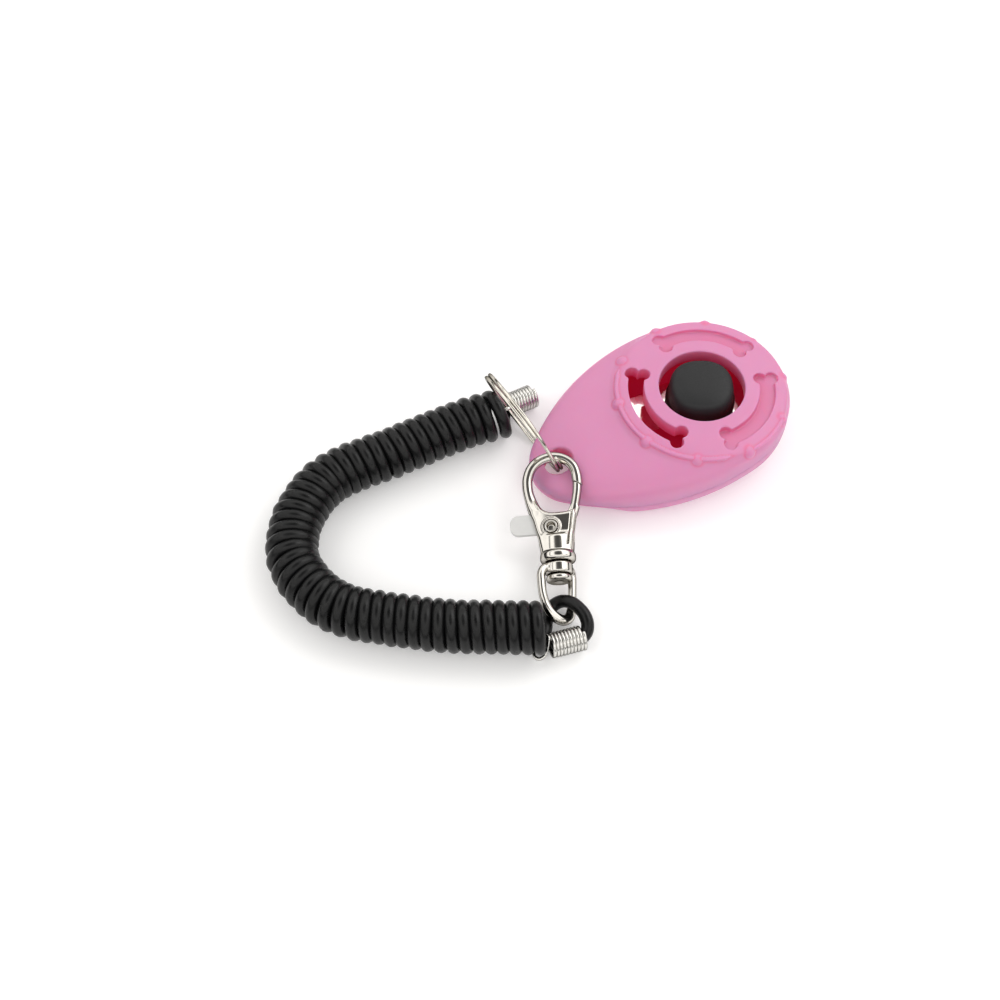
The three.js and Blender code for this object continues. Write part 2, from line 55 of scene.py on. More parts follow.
# ---- camera -------------------------------------------------------------------------
camera = bpy.data.objects.new("camera", bpy.data.cameras.new("camera"))
camera.data.lens = 62.35
camera.data.sensor_width = 36
camera.data.clip_start = 0.01
eye = Vector((-0.1489, -0.1913, 0.3366))
target = Vector((-0.05142, 0.00155, 0.0))
camera.location = eye
camera.rotation_euler = (target - eye).to_track_quat("-Z", "Y").to_euler()
bpy.context.scene.collection.objects.link(camera)
bpy.context.scene.camera = camera


# ---- meshes -------------------------------------------------------------------------
def mesh_piece(name, points, faces, material, smooth=True, normals=None):
    mesh = bpy.data.meshes.new(name)
    mesh.from_pydata((np.asarray(points, float) * MM).tolist(), [], [list(map(int, f)) for f in faces])
    mesh.validate()
    mesh.polygons.foreach_set("use_smooth", [smooth] * len(mesh.polygons))
    mesh.materials.append(material)
    if normals is not None and len(normals) == len(mesh.vertices):
        mesh.normals_split_custom_set_from_vertices(normals.tolist())
    piece = bpy.data.objects.new(name, mesh)
    bpy.context.scene.collection.objects.link(piece)
    return piece


def unit(v):
    return v / np.maximum(np.linalg.norm(v, axis=-1, keepdims=True), 1e-12)


def resample(points, step):
    """Points a step apart along a smooth curve through the given ones."""
    p = np.asarray(points, float)
    ends = np.vstack([2 * p[0] - p[1], p, 2 * p[-1] - p[-2]])
    t = np.concatenate([[0], np.cumsum(np.sqrt(np.linalg.norm(np.diff(ends, axis=0), axis=1)))])
    out = []
    for i in range(1, len(ends) - 2):
        p0, p1, p2, p3 = ends[i - 1:i + 3]
        t0, t1, t2, t3 = t[i - 1:i + 3]
        u = np.linspace(t1, t2, 24, endpoint=False)[:, None]
        a1 = (t1 - u) / (t1 - t0) * p0 + (u - t0) / (t1 - t0) * p1
        a2 = (t2 - u) / (t2 - t1) * p1 + (u - t1) / (t2 - t1) * p2
        a3 = (t3 - u) / (t3 - t2) * p2 + (u - t2) / (t3 - t2) * p3
        b1 = (t2 - u) / (t2 - t0) * a1 + (u - t0) / (t2 - t0) * a2
        b2 = (t3 - u) / (t3 - t1) * a2 + (u - t1) / (t3 - t1) * a3
        out.append((t2 - u) / (t2 - t1) * b1 + (u - t1) / (t2 - t1) * b2)
    return even(np.vstack(out + [ends[-2][None]]), step)


def even(line, step):
    along = np.concatenate([[0], np.cumsum(np.linalg.norm(np.diff(line, axis=0), axis=1))])
    at = np.linspace(0, along[-1], max(2, int(math.ceil(along[-1] / step)) + 1))
    return np.stack([np.interp(at, along, line[:, k]) for k in range(3)], axis=1)


def frames(line):
    """Tangents and a pair of normals carried along a line without twist."""
    tangent = unit(np.gradient(line, axis=0))
    side = np.cross(tangent[0], [0, 0, 1.0])
    if np.linalg.norm(side) < 0.2:
        side = np.cross(tangent[0], [0, 1.0, 0])
    sides = [unit(side)]
    for k in range(1, len(line)):
        s = sides[-1] - tangent[k] * (sides[-1] @ tangent[k])
        sides.append(unit(s))
    sides = np.array(sides)
    return tangent, sides, np.cross(tangent, sides)


def tube(line, radius, sides=16, cap=0.6, section=None, basis=None):
    """A closed tube along a line, its ends rounded. radius may be a number or one per point."""
    line = np.asarray(line, float)
    radii = np.full(len(line), float(radius)) if np.isscalar(radius) else np.asarray(radius, float)
    tangent, u, v = frames(line) if basis is None else basis
    rows = [(line[0] - tangent[0] * cap * radii[0] * (1 - c), u[0], v[0], radii[0] * math.sqrt(1 - (1 - c) ** 2))
            for c in (0.12, 0.5)]
    rows += [(line[k], u[k], v[k], radii[k]) for k in range(len(line))]
    rows += [(line[-1] + tangent[-1] * cap * radii[-1] * (1 - c), u[-1], v[-1],
              radii[-1] * math.sqrt(1 - (1 - c) ** 2))
             for c in (0.5, 0.12)]
    if section is None:
        turn = np.linspace(0, 2 * math.pi, sides, endpoint=False)
        section = np.stack([np.cos(turn), np.sin(turn)], 1)
    n = len(section)
    points = np.vstack([centre + r * (section[:, :1] * a + section[:, 1:] * b) for centre, a, b, r in rows])
    faces = [(k * n + i, k * n + (i + 1) % n, (k + 1) * n + (i + 1) % n, (k + 1) * n + i)
             for k in range(len(rows) - 1) for i in range(n)]
    faces += [tuple(range(n))[::-1], tuple((len(rows) - 1) * n + i for i in range(n))]
    return points, faces


def lathe(profile, sides=96):
    """A body of revolution about Z from a smoothed profile of [radius, z, roundness] points."""
    rounded = []
    p = [np.array(q[:2], float) for q in profile]
    for k, q in enumerate(profile):
        r = q[2] if len(q) > 2 else 0
        if r == 0 or k in (0, len(profile) - 1):
            rounded.append(p[k])
            continue
        a, b = p[k - 1] - p[k], p[k + 1] - p[k]
        ra, rb = min(r, np.linalg.norm(a) * 0.48), min(r, np.linalg.norm(b) * 0.48)
        start, end = p[k] + a / np.linalg.norm(a) * ra, p[k] + b / np.linalg.norm(b) * rb
        for t in np.linspace(0, 1, 7):
            rounded.append((1 - t) ** 2 * start + 2 * t * (1 - t) * p[k] + t * t * end)
    line = np.array(rounded)
    turn = np.linspace(0, 2 * math.pi, sides, endpoint=False)
    points, faces, first = [], [], []
    for r, z in line:
        first.append(len(points))
        if r < 1e-6:
            points.append((0, 0, z))
        else:
            points += [(r * math.cos(t), r * math.sin(t), z) for t in turn]
    for k in range(len(line) - 1):
        a, b = first[k], first[k + 1]
        flat_a, flat_b = line[k][0] < 1e-6, line[k + 1][0] < 1e-6
        for i in range(sides):
            j = (i + 1) % sides
            if flat_a and flat_b:
                continue
            if flat_a:
                faces.append((a, b + j, b + i))
            elif flat_b:
                faces.append((a + i, a + j, b))
            else:
                faces.append((a + i, a + j, b + j, b + i))
    return np.array(points), faces


# ---- smooth solids from signed distances ---------------------------------------------
def join(a, b, k):
    h = np.clip(0.5 + 0.5 * (b - a) / k, 0, 1)
    return b + (a - b) * h - k * h * (1 - h)


def meet(a, b, k):
    return -join(-a, -b, k)


def carve(a, b, k):
    return meet(a, -b, k)


CORNERS = [(i, j, k) for i in (0, 1) for j in (0, 1) for k in (0, 1)]


def nets(solid, low, high, step):
    """Mesh of the surface where solid(x, y, z) is zero: one point per crossed cell, then pulled onto it,
    with the surface's own normals."""
    axes = [np.arange(a, b + step, step, dtype=np.float64) for a, b in zip(low, high)]
    value = np.concatenate([
        np.broadcast_to(solid(*np.meshgrid(part, axes[1], axes[2], indexing="ij", sparse=True)),
                        (len(part), len(axes[1]), len(axes[2]))).astype(np.float32)
        for part in np.array_split(axes[0], max(1, len(axes[0]) // 24))
    ])
    value[np.abs(value) < 1e-6] = 1e-6
    inside = value < 0
    shape = np.array(value.shape) - 1

    def corner(array, c):
        return array[c[0]:c[0] + shape[0], c[1]:c[1] + shape[1], c[2]:c[2] + shape[2]]

    count = sum(corner(inside, c).astype(np.int8) for c in CORNERS)
    cells = np.argwhere((count > 0) & (count < 8))
    total, hits = np.zeros((len(cells), 3)), np.zeros(len(cells))
    for a in CORNERS:
        for axis in range(3):
            if a[axis]:
                continue
            b = list(a)
            b[axis] = 1
            va = value[tuple((cells + a).T)]
            vb = value[tuple((cells + b).T)]
            crossed = (va < 0) != (vb < 0)
            t = np.where(crossed, va / np.where(crossed, va - vb, 1), 0)
            place = np.tile(np.array(a, float), (len(cells), 1))
            place[:, axis] = t
            total[crossed] += place[crossed]
            hits += crossed
    points = (cells + total / hits[:, None]) * step + [axis[0] for axis in axes]
    number = np.full(tuple(shape), -1, np.int64)
    number[tuple(cells.T)] = np.arange(len(cells))
    faces = []
    for axis in range(3):
        u, v = (axis + 1) % 3, (axis + 2) % 3
        ahead = [slice(None)] * 3
        ahead[axis] = slice(1, None)
        behind = [slice(None)] * 3
        behind[axis] = slice(None, -1)
        one, two = inside[tuple(behind)], inside[tuple(ahead)]
        edges = np.argwhere(one != two)
        keep = (edges[:, u] > 0) & (edges[:, v] > 0) & (edges[:, u] < shape[u]) & (edges[:, v] < shape[v])
        edges = edges[keep]
        outward = one[tuple(edges.T)]
        quad = []
        for du, dv in ((-1, -1), (0, -1), (0, 0), (-1, 0)):
            cell = edges.copy()
            cell[:, u] += du
            cell[:, v] += dv
            quad.append(number[tuple(cell.T)])
        quad = np.stack(quad, 1)
        quad[~outward] = quad[~outward][:, ::-1]
        faces.append(quad[(quad >= 0).all(1)])
    faces = np.vstack(faces)
    for _ in range(3):
        slope = gradient(solid, points, 0.01)
        size = np.maximum((slope ** 2).sum(1), 0.05)
        move = -(solid(*points.T) / size)[:, None] * slope
        far = np.linalg.norm(move, axis=1, keepdims=True)
        points = points + move * np.minimum(1, 0.5 * step / np.maximum(far, 1e-9))
    return points, faces, unit(gradient(solid, points, 0.04))


def gradient(solid, points, d):
    x, y, z = points.T
    return np.stack([
        solid(x + d, y, z) - solid(x - d, y, z),
        solid(x, y + d, z) - solid(x, y - d, z),
        solid(x, y, z + d) - solid(x, y, z - d),
    ], 1) / (2 * d)


def solid_piece(name, solid, low, high, step, material, skin=None):
    """skin is a smoother solid whose surface this one shares; its normals are used there."""
    points, faces, normals = nets(solid, low, high, step)
    if skin is not None:
        shared = np.abs(skin(*points.T)) < 0.02
        normals[shared] = unit(gradient(skin, points[shared], 0.04))
    return mesh_piece(name, points, faces, material, normals=normals)


def line_distance(x, y, line):
    """Distance in the plane to an open polyline."""
    best = np.full(np.broadcast_shapes(np.shape(x), np.shape(y)), 1e9)
    for (ax, ay), (bx, by) in zip(line[:-1], line[1:]):
        dx, dy = bx - ax, by - ay
        t = np.clip(((x - ax) * dx + (y - ay) * dy) / (dx * dx + dy * dy), 0, 1)
        best = np.minimum(best, (x - ax - t * dx) ** 2 + (y - ay - t * dy) ** 2)
    return np.sqrt(best)


def polygon(x, y, outline):
    """Signed distance in the plane to a closed outline."""
    inside = np.zeros(np.broadcast_shapes(np.shape(x), np.shape(y)), bool)
    for (ax, ay), (bx, by) in zip(outline, outline[1:] + outline[:1]):
        if ay != by:
            inside ^= ((ay > y) != (by > y)) & (x < (bx - ax) * (y - ay) / (by - ay) + ax)
    edge = line_distance(x, y, outline + outline[:1])
    return np.where(inside, -edge, edge)


def rounded_box(x, y, middle, half, radius):
    a, b = np.abs(x - middle[0]) - half[0] + radius, np.abs(y - middle[1]) - half[1] + radius
    return np.hypot(np.maximum(a, 0), np.maximum(b, 0)) + np.minimum(np.maximum(a, b), 0) - radius


def disc(r, y, radius, low, high, round_by):
    """A rounded disc or short cylinder: r is the distance from its axis, y the place along it."""
    a = r - radius + round_by
    b = np.abs(y - (low + high) / 2) - (high - low) / 2 + round_by
    return np.hypot(np.maximum(a, 0), np.maximum(b, 0)) + np.minimum(np.maximum(a, b), 0) - round_by


# ---- materials ----------------------------------------------------------------------
# painted glow for walls inside the pink shells, standing in for light that comes through the thin plastic
PAINTED_WALL_GLOW = (0.055, 0.001, 0.006, 1)
BUMP_HEIGHT = 0.0001                    # metres


def material(name, base, rough, metal=0.0, tint=None, tint_scale=300, grain=None, bump=(), painted_shade=None, **sockets):
    """Principled material: colour and roughness vary with object-space noise, and bump is a list of
    (scale, strength) layers. The darker colour given for inside walls is painted shade: it is mixed in where
    the 'inner' attribute is set, on walls inside the piece and at creases, standing in for shade and pink
    interreflection there, and a painted glow stands in for light coming through the wall."""
    m = bpy.data.materials.new(name)
    m.use_nodes = True
    tree = m.node_tree
    shader = tree.nodes["Principled BSDF"]
    shader.inputs["Metallic"].default_value = metal
    for socket, value in sockets.items():
        shader.inputs[socket.replace("_", " ")].default_value = value
    place = tree.nodes.new("ShaderNodeTexCoord").outputs["Object"]

    def noise(scale, detail=3.0):
        node = tree.nodes.new("ShaderNodeTexNoise")
        node.inputs["Scale"].default_value = scale
        node.inputs["Detail"].default_value = detail
        tree.links.new(place, node.inputs["Vector"])
        return node.outputs["Fac"]

    mix = tree.nodes.new("ShaderNodeMix")
    mix.data_type = "RGBA"
    tree.links.new(noise(tint_scale), mix.inputs["Factor"])
    mix.inputs["A"].default_value = (*base, 1)
    mix.inputs["B"].default_value = (*(tint or [c * 0.9 for c in base]), 1)
    colour = mix.outputs["Result"]
    # painted shade: where the 'inner' attribute is set, a darker colour is mixed into the base colour, standing in
    # for shade and pink interreflection in recesses and creases
    if painted_shade is not None:
        inner = tree.nodes.new("ShaderNodeAttribute")
        inner.attribute_name = "inner"
        shade_mix = tree.nodes.new("ShaderNodeMix")
        shade_mix.data_type = "RGBA"
        tree.links.new(inner.outputs["Fac"], shade_mix.inputs["Factor"])
        tree.links.new(colour, shade_mix.inputs["A"])
        shade_mix.inputs["B"].default_value = (*painted_shade, 1)
        colour = shade_mix.outputs["Result"]
        # painted glow, standing in for light that has come through the wall
        painted_glow = tree.nodes.new("ShaderNodeMix")
        painted_glow.data_type = "RGBA"
        tree.links.new(inner.outputs["Fac"], painted_glow.inputs["Factor"])
        painted_glow.inputs["A"].default_value = (0, 0, 0, 1)
        painted_glow.inputs["B"].default_value = PAINTED_WALL_GLOW
        tree.links.new(painted_glow.outputs["Result"], shader.inputs["Emission Color"])
        shader.inputs["Emission Strength"].default_value = 1.0
    tree.links.new(colour, shader.inputs["Base Color"])
    spread = tree.nodes.new("ShaderNodeMapRange")
    spread.inputs["To Min"].default_value = rough[0]
    spread.inputs["To Max"].default_value = rough[1]
    spread.inputs["From Min"].default_value = 0.3
    spread.inputs["From Max"].default_value = 0.7
    tree.links.new(noise(grain or tint_scale * 3), spread.inputs["Value"])
    tree.links.new(spread.outputs["Result"], shader.inputs["Roughness"])
    normal = None
    for scale, strength in bump:
        node = tree.nodes.new("ShaderNodeBump")
        node.inputs["Strength"].default_value = strength
        node.inputs["Distance"].default_value = BUMP_HEIGHT
        tree.links.new(noise(scale, 2.0), node.inputs["Height"])
        if normal is not None:
            tree.links.new(normal, node.inputs["Normal"])
        normal = node.outputs["Normal"]
    if normal is not None:
        tree.links.new(normal, shader.inputs["Normal"])
    return m


# the pink's walls inside the piece and its creases are painted a darker crimson as shade, with a weak painted glow
PINK = material(
    "pink_abs", (0.660, 0.258, 0.455), (0.42, 0.52), tint=(0.642, 0.244, 0.436), tint_scale=120, grain=1500,
    bump=((5200, 0.05), (900, 0.04)), painted_shade=(0.76, 0.010, 0.100), Subsurface_Weight=0.45,
    Subsurface_Radius=(0.0050, 0.0007, 0.0014), Subsurface_Scale=1.0,
)
RUBBER = material(
    "charcoal_rubber", (0.0135, 0.0138, 0.0150), (0.46, 0.60), tint=(0.010, 0.0105, 0.0115), tint_scale=400,
    grain=2500, bump=((7000, 0.10), (1200, 0.05)), Specular_IOR_Level=0.38,
)
CORD = material(
    "black_cord", (0.0030, 0.0031, 0.0034), (0.24, 0.40), tint=(0.0055, 0.0057, 0.0060), tint_scale=500, grain=900,
    bump=((2600, 0.10), (600, 0.06)), Specular_IOR_Level=0.28,
)
CHROME = material(
    "chrome_casting", (0.68, 0.655, 0.605), (0.08, 0.14), metal=1.0, tint=(0.58, 0.555, 0.515), tint_scale=250,
    grain=700, bump=((450, 0.05), (2400, 0.02)), Specular_Tint=(0.0, 0.0, 0.0, 1),
)
NICKEL = material(
    "nickel_ring", (0.78, 0.74, 0.66), (0.12, 0.24), metal=1.0, tint=(0.66, 0.63, 0.57), tint_scale=500,
    grain=1500, bump=((1500, 0.05), (5000, 0.03)), Specular_Tint=(0.12, 0.12, 0.11, 1),
)
STAMPED = material(
    "stamped_steel", (0.72, 0.72, 0.71), (0.48, 0.60), metal=0.35, tint=(0.66, 0.66, 0.65), tint_scale=600,
    grain=3000, bump=((4000, 0.08), (900, 0.05)),
)
LEAF = material(
    "spring_steel", (0.93, 0.91, 0.88), (0.07, 0.13), metal=1.0, tint=(0.90, 0.88, 0.84), tint_scale=300, grain=1500,
    bump=((2500, 0.01),),
)
WIRE = material(
    "crimp_wire", (0.76, 0.75, 0.72), (0.14, 0.28), metal=1.0, tint=(0.64, 0.63, 0.60), tint_scale=900, grain=2500,
    bump=((3000, 0.04),), Specular_Tint=(0.1, 0.1, 0.1, 1),
)
ZINC = material(
    "zinc_screw", (0.62, 0.61, 0.57), (0.24, 0.40), metal=1.0, tint=(0.55, 0.53, 0.46), tint_scale=700, grain=2500,
    bump=((3000, 0.06),),
)
FLOOR = material(
    "pale_table", (0.87, 0.87, 0.87), (0.62, 0.70), tint=(0.86, 0.86, 0.86), tint_scale=12, grain=200,
    bump=((900, 0.01),), Emission_Color=(1, 1, 1, 1), Emission_Strength=0.20,
)

# ---- the wrist cord ------------------------------------------------------------------
CORD_RADIUS = 1.45
COIL_RADIUS = 4.55                      # from the coil's middle to the cord's
TURNS = 48
COIL_ROUTE = [
    (-41.5, 19.5), (-44.5, 19.9), (-49.5, 20.6), (-55.0, 20.8), (-61.0, 20.9), (-66.0, 20.9), (-71.0, 20.9),
    (-75.5, 21.2), (-81.0, 21.3), (-86.6, 20.5), (-91.4, 18.0), (-96.1, 14.1), (-99.3, 9.6),
    (-101.2, 5.0), (-101.4, 1.0), (-100.9, -2.5), (-99.9, -6.0), (-98.0, -9.8), (-95.2, -13.2),
    (-91.2, -16.4), (-86.0, -20.2), (-78.0, -25.7), (-68.3, -30.9), (-63.5, -33.5), (-59.7, -35.5),
]
RING_END = [(-33.4, 22.7, 2.9), (-36.3, 22.7, 2.9), (-38.6, 22.6, 2.8), (-40.0, 21.7, 2.1)]
LINK_END = [
    (-58.6, -34.6, 1.5), (-57.1, -32.4, 1.6), (-55.8, -30.6, 1.8), (-53.8, -29.6, 2.1), (-52.1, -30.0, 3.0),
    (-50.8, -31.8, 4.3), (-50.2, -33.7, 4.9), (-49.8, -36.0, 4.9), (-50.1, -38.1, 4.5), (-51.0, -39.5, 3.7),
    (-52.5, -40.15, 3.2), (-54.5, -39.75, 3.1), (-56.5, -39.35, 3.1), (-58.7, -38.9, 3.1),
]


def coil_line():
    middle = resample([(x, y, 6.0) for x, y in COIL_ROUTE], 0.12)
    along = np.linspace(0, 1, len(middle))
    tangent = unit(np.gradient(middle, axis=0))
    left = unit(np.cross([0, 0, 1.0], tangent))
    # the first turns are pulled open by the ring
    tight = along - 0.012 * (1 - np.exp(-along / 0.030))
    turn = -0.5 * math.pi + 2 * math.pi * TURNS * tight / tight[-1]
    reach = COIL_RADIUS * (1 + 0.006 * np.sin(9.3 * turn / 7) + 0.006 * np.sin(turn * 0.31))
    up = np.array([0, 0, 1.0])
    helix = middle + reach[:, None] * (np.cos(turn)[:, None] * left + np.sin(turn)[:, None] * up)
    return helix


helix = coil_line()
cord_line = resample(np.vstack([RING_END, helix[4::3], LINK_END]), 0.42)
points, faces = tube(cord_line, CORD_RADIUS, 14, cap=0.5)
strap = mesh_piece("wrist_strap", points, faces, CORD)
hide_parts("coil_band", "ring_end_loop", "link_end_loop")
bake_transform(strap)

# ---- casing -------------------------------------------------------------------------
HEAD_RADIUS, TAIL_RADIUS, SPINE, FLANK = 20.7, 10.9, 32.5, 50.0
WALL, ROOF = 1.7, 3.0
PLATEAU_RADIUS, PLATEAU_TOP, PLATEAU_DOME, PLATEAU_FOOT = 20.0, 15.35, 0.0041, 9.5
SEAM, SEAM_RISE, SEAM_TAIL = 7.5, 0.091, 4.9
PATTERN_TURN = math.radians(3)
TAIL_HOLE_X, TAIL_HOLE_RADIUS = -37.3, 2.9
BUTTON_HOLE_RADIUS = 9.95
# middle angle and half spread of each bone-shaped arc, in degrees
CLOSED_BONES, OPEN_BONE, BONE_FLOOR = ((58.5, 38.5), (303, 40)), (179.3, 40.7), 13.1
LOBES, LOBE_REACH = 10, 19.3
LEAF_POST_X = -21.0
SCREWS = [(11.5, -11.5), (11.5, 11.5)]
_a, _b = FLANK - HEAD_RADIUS, FLANK - TAIL_RADIUS
FLANK_X = (_b * _b - _a * _a - SPINE * SPINE) / (2 * SPINE)
FLANK_Y = math.sqrt(_a * _a - FLANK_X * FLANK_X)
HEAD_TURN, TAIL_TURN = math.atan2(FLANK_Y, -FLANK_X), math.atan2(FLANK_Y, -SPINE - FLANK_X)
EDGE_TOP = PLATEAU_TOP - PLATEAU_DOME * PLATEAU_RADIUS ** 2


def egg(x, y, z, inset=0.0, roof=0.0):
    """The rounded egg: widest at a sloping line, flatter above it than below."""
    fx, fy = x - FLANK_X, np.abs(y) + FLANK_Y
    turn = np.arctan2(fy, fx)
    t = np.clip((turn - HEAD_TURN) / (TAIL_TURN - HEAD_TURN), 0, 1)
    edge = HEAD_TURN + t * (TAIL_TURN - HEAD_TURN)
    half = np.hypot(FLANK_X + FLANK * np.cos(edge) + SPINE * t, FLANK * np.sin(edge) - FLANK_Y) - inset
    out = np.where(turn < HEAD_TURN, np.hypot(x, y) - HEAD_RADIUS,
                   np.where(turn > TAIL_TURN, np.hypot(x + SPINE, y) - TAIL_RADIUS, np.hypot(fx, fy) - FLANK))
    c = np.maximum(1 + (out + inset) / half, 0.02)
    behind = np.minimum(x, 0)
    widest = 10 + 0.147 * behind
    crown = 14.2 - 0.0037 * behind ** 2 - roof
    lift = np.clip((-25 - x) / 9, 0, 1)
    base = 3.8 * lift * lift * (3 - 2 * lift) - 0.4 + inset
    high = np.maximum(np.where(z > widest, crown - widest, widest - base), 0.8)
    q = np.abs(z - widest) / high
    g = np.maximum((c ** 4 + q ** 4) ** 0.25, 1e-3)
    slope = np.sqrt(((c / g) ** 3 / half) ** 2 + ((q / g) ** 3 / high) ** 2)
    return (g - 1) / np.maximum(slope, 0.02)


def bone(x, y, centre, spread):
    """Plan of a bone-shaped arc about its middle angle: a curved channel with two lobes at each end."""
    middle, half_width, lobe, half_angle = 15.2, 1.80, 1.55, math.radians(spread)
    r = np.hypot(x, y)
    a = np.abs((np.arctan2(y, x) - math.radians(centre) + math.pi) % (2 * math.pi) - math.pi)
    past = np.maximum(a - half_angle, 0)
    u, v = r * np.cos(past) - middle, r * np.sin(past)
    channel = np.hypot(np.maximum(np.abs(u) - half_width, 0), v)
    channel = np.where(a < half_angle, np.abs(r - middle) - half_width, channel)
    p, q = r * np.cos(a - half_angle) - middle, r * np.sin(a - half_angle)
    lobes = np.hypot(np.abs(p) - 1.4, q) - lobe
    return join(channel, lobes, 0.35)


def arc_bead(r, z, turn, first, last, reach, height, radius):
    """A thin raised line along part of the plateau's edge, fading out at its ends (degrees)."""
    middle, half = math.radians((first + last) / 2), math.radians((last - first) / 2)
    off = np.abs((turn - middle + math.pi) % (2 * math.pi) - math.pi) - half
    fade = np.clip(off / 0.18 + 1, 0, 1)
    return np.hypot(r - reach, z - height) - radius + 0.9 * fade


def beads(r, z, turn):
    return np.minimum(arc_bead(r, z, turn, 131, 265, PLATEAU_RADIUS - 0.35, EDGE_TOP - 0.18, 0.50),
                      arc_bead(r, z, turn, 268, 318, PLATEAU_RADIUS - 0.1, EDGE_TOP - 0.30, 0.42))


def lobes(r, z, turn, behind):
    """Ten round lobes on the plateau's edge; those toward the tail (behind is 1) stand out more."""
    step = 2 * math.pi / LOBES
    a = (((turn - PATTERN_TURN) / step) % 1.0 - 0.5) * step
    size = 1.6 - 0.45 * np.clip(3 * np.cos(turn - math.radians(15)) - 2, 0, 1)
    return np.sqrt((r * np.cos(a) - LOBE_REACH - 0.25 * behind) ** 2 + (r * np.sin(a)) ** 2
                   + (z - EDGE_TOP + 1.35 - 0.25 * behind) ** 2) - size


def tailward(x):
    """0 over the head, 1 from 14 mm behind the button's middle, smoothly between."""
    behind = np.clip(-x / 14, 0, 1)
    return behind * behind * (3 - 2 * behind)


def casing_outside(x, y, z):
    r = np.hypot(x, y)
    turn = np.arctan2(y, x)
    behind = tailward(x)
    plateau = meet(z - (PLATEAU_TOP - PLATEAU_DOME * r * r), r - PLATEAU_RADIUS, 1.2)
    # toward the tail the plateau's edge leans back and melts into the egg
    lean = 0.5 * (r - PLATEAU_RADIUS + 1.5) + 0.866 * (z - EDGE_TOP - 0.24) - 2 * (1 - behind)
    plateau = meet(meet(plateau, lean, 0.8), PLATEAU_FOOT - z, 0.2)
    body = join(egg(x, y, z), plateau, 0.4 + 1.2 * behind)
    body = join(body, beads(r, z, turn), 0.10)
    return join(body, lobes(r, z, turn, behind), 0.35)


def hollow(x, y, z):
    inner = egg(x, y, z, WALL, ROOF)
    inner = carve(inner, np.hypot(x - TAIL_HOLE_X, y) - 5.8, 0.6)
    for sx, sy in SCREWS:
        inner = carve(inner, np.hypot(x - sx, y - sy) - 3.0, 0.5)
    return inner


def casing(x, y, z):
    # the key ring's hole widens a little upward and flares out underneath
    widening = 0.06 * np.clip(z - 3.5, 0, 7) + 0.9 * np.maximum(5.2 - z, 0)
    tail = np.hypot(x - TAIL_HOLE_X, y) - TAIL_HOLE_RADIUS - widening
    return carve(casing_outside(x, y, z), tail, 0.6)


def seam(x):
    """Height of the line between the shells: it falls toward the tail, then runs level over the thin end."""
    return -join(-SEAM - SEAM_RISE * x, -SEAM_TAIL, 0.5)


def top_shell(x, y, z):
    body = carve(casing(x, y, z), hollow(x, y, z), 0.25)
    body = carve(body, np.hypot(x, y) - BUTTON_HOLE_RADIUS, 0.4)
    for centre, spread in CLOSED_BONES:
        body = carve(body, meet(bone(x, y, centre, spread), BONE_FLOOR - z, 0.5), 0.3)
    body = carve(body, meet(bone(x, y, *OPEN_BONE), 5 - z, 0.4), 0.3)
    above = z - seam(x)
    body = carve(body, np.maximum(casing_outside(x, y, z) + 0.45, above - 0.85), 0.05)
    return meet(body, -above, 0.03)


def bottom_shell(x, y, z):
    body = carve(casing(x, y, z), hollow(x, y, z), 0.25)
    above = z - seam(x)
    # a lip stands up behind the seam, inside the upper shell
    body = meet(body, np.minimum(above, np.maximum(casing_outside(x, y, z) + 0.5, above - 0.8)), 0.03)
    inside = np.maximum(z - 6.2, 0.6 - z)
    posts = np.minimum(
        meet(np.hypot(x - LEAF_POST_X, y) - 2.5, inside, 0.2),
        meet(np.abs(np.hypot(x, y) - 2.5) - 0.55, np.maximum(z - 4.5, 0.6 - z), 0.2),
    )
    body = join(body, posts, 0.4)
    for sx, sy in SCREWS:
        r = np.hypot(x - sx, y - sy)
        body = carve(body, meet(r - 2.5, z - 2.9, 0.2), 0.35)
        body = carve(body, r - 1.35, 0.15)
    return meet(body, -z, 0.5)


FINE = 0.27
upper = solid_piece("casing_top", top_shell, (-44.5, -22.5, 2.9), (22.5, 22.5, 16.4), FINE, PINK, casing_outside)
lower = solid_piece("casing_bottom", bottom_shell, (-44.5, -22.5, -0.6), (22.5, 22.5, 10.2), FINE * 1.15, PINK,
                    casing_outside)
for piece, node in ((upper, "top_shell"), (lower, "bottom_shell")):
    place = np.array([tuple(v.co) for v in piece.data.vertices]) / MM
    depth = -casing_outside(*place.T)
    # painted shade: walls take the darker colour sooner than floors, which face up to the light, so the shallow bones
    # stay pale; the cavity takes it all
    level = np.clip(unit(gradient(top_shell if node == "top_shell" else bottom_shell, place, 0.04))[:, 2], 0, 1)
    inner = 0.8 * np.clip((depth - 0.05 - 0.85 * level) / (3.6 + 1.0 * level), 0, 1) ** 0.6
    # and painted shade darkens the corners at the foot of the beads and lobes too
    x, y, z = place.T
    raised = (np.hypot(x, y), z, np.arctan2(y, x))
    beside = np.minimum(beads(*raised), lobes(*raised, tailward(x)))
    inner = np.maximum(inner, 0.30 * np.clip(1 - beside / 0.6, 0, 1) * (beside > 0.05))
    # painted shade: the faces of the hollow inside the shells take the full darker colour
    inner = np.maximum(inner, np.clip(1.3 - np.abs(hollow(*place.T)) / 0.8, 0, 1) * (depth > 0.8))
    piece.data.attributes.new("inner", "FLOAT", "POINT").data.foreach_set("value", inner.astype(np.float32))
    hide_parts(node)
    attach(piece, "casing")

